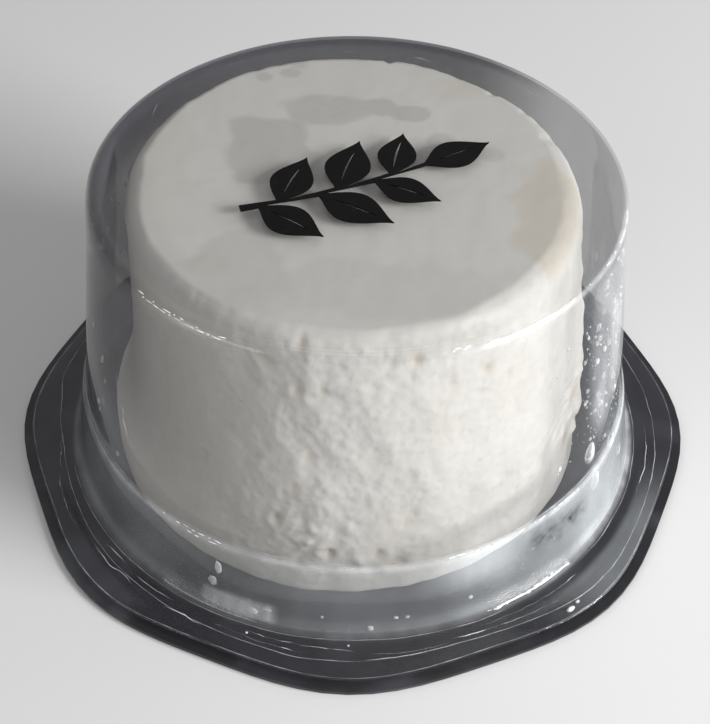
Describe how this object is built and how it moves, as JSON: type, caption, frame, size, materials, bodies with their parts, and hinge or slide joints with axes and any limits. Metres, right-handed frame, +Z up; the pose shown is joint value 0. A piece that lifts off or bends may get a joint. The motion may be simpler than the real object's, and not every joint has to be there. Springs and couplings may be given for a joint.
{
  "type": "goat cheese in a domed pack",
  "caption": "Round of fresh white goat cheese standing under a clear plastic dome with a flanged foot, closed by a flat dark base sheet, with a black leaf sprig printed on top.",
  "frame": {"origin": "centre of the base sheet's underside, on the surface that the pack stands on", "axes": "+Z up through the dome, the short way of the pack; the front, where the cheese is craggy and the print reads upright, faces -Y"},
  "size_m": [0.1188, 0.1188, 0.0545],
  "materials": {
    "curd": "moist white curd, smooth and wet on top, pitted and craggy at the front",
    "clear_plastic": "thin clear thermoformed plastic, glossy",
    "base_sheet": "dark smooth plastic sheet",
    "black_ink": "flat black print with a slight sheen"
  },
  "bodies": {
    "root": {"cheese": "curd", "dome": "clear_plastic", "base": "base_sheet", "leaf_print": "black_ink"}
  },
  "joints": []
}
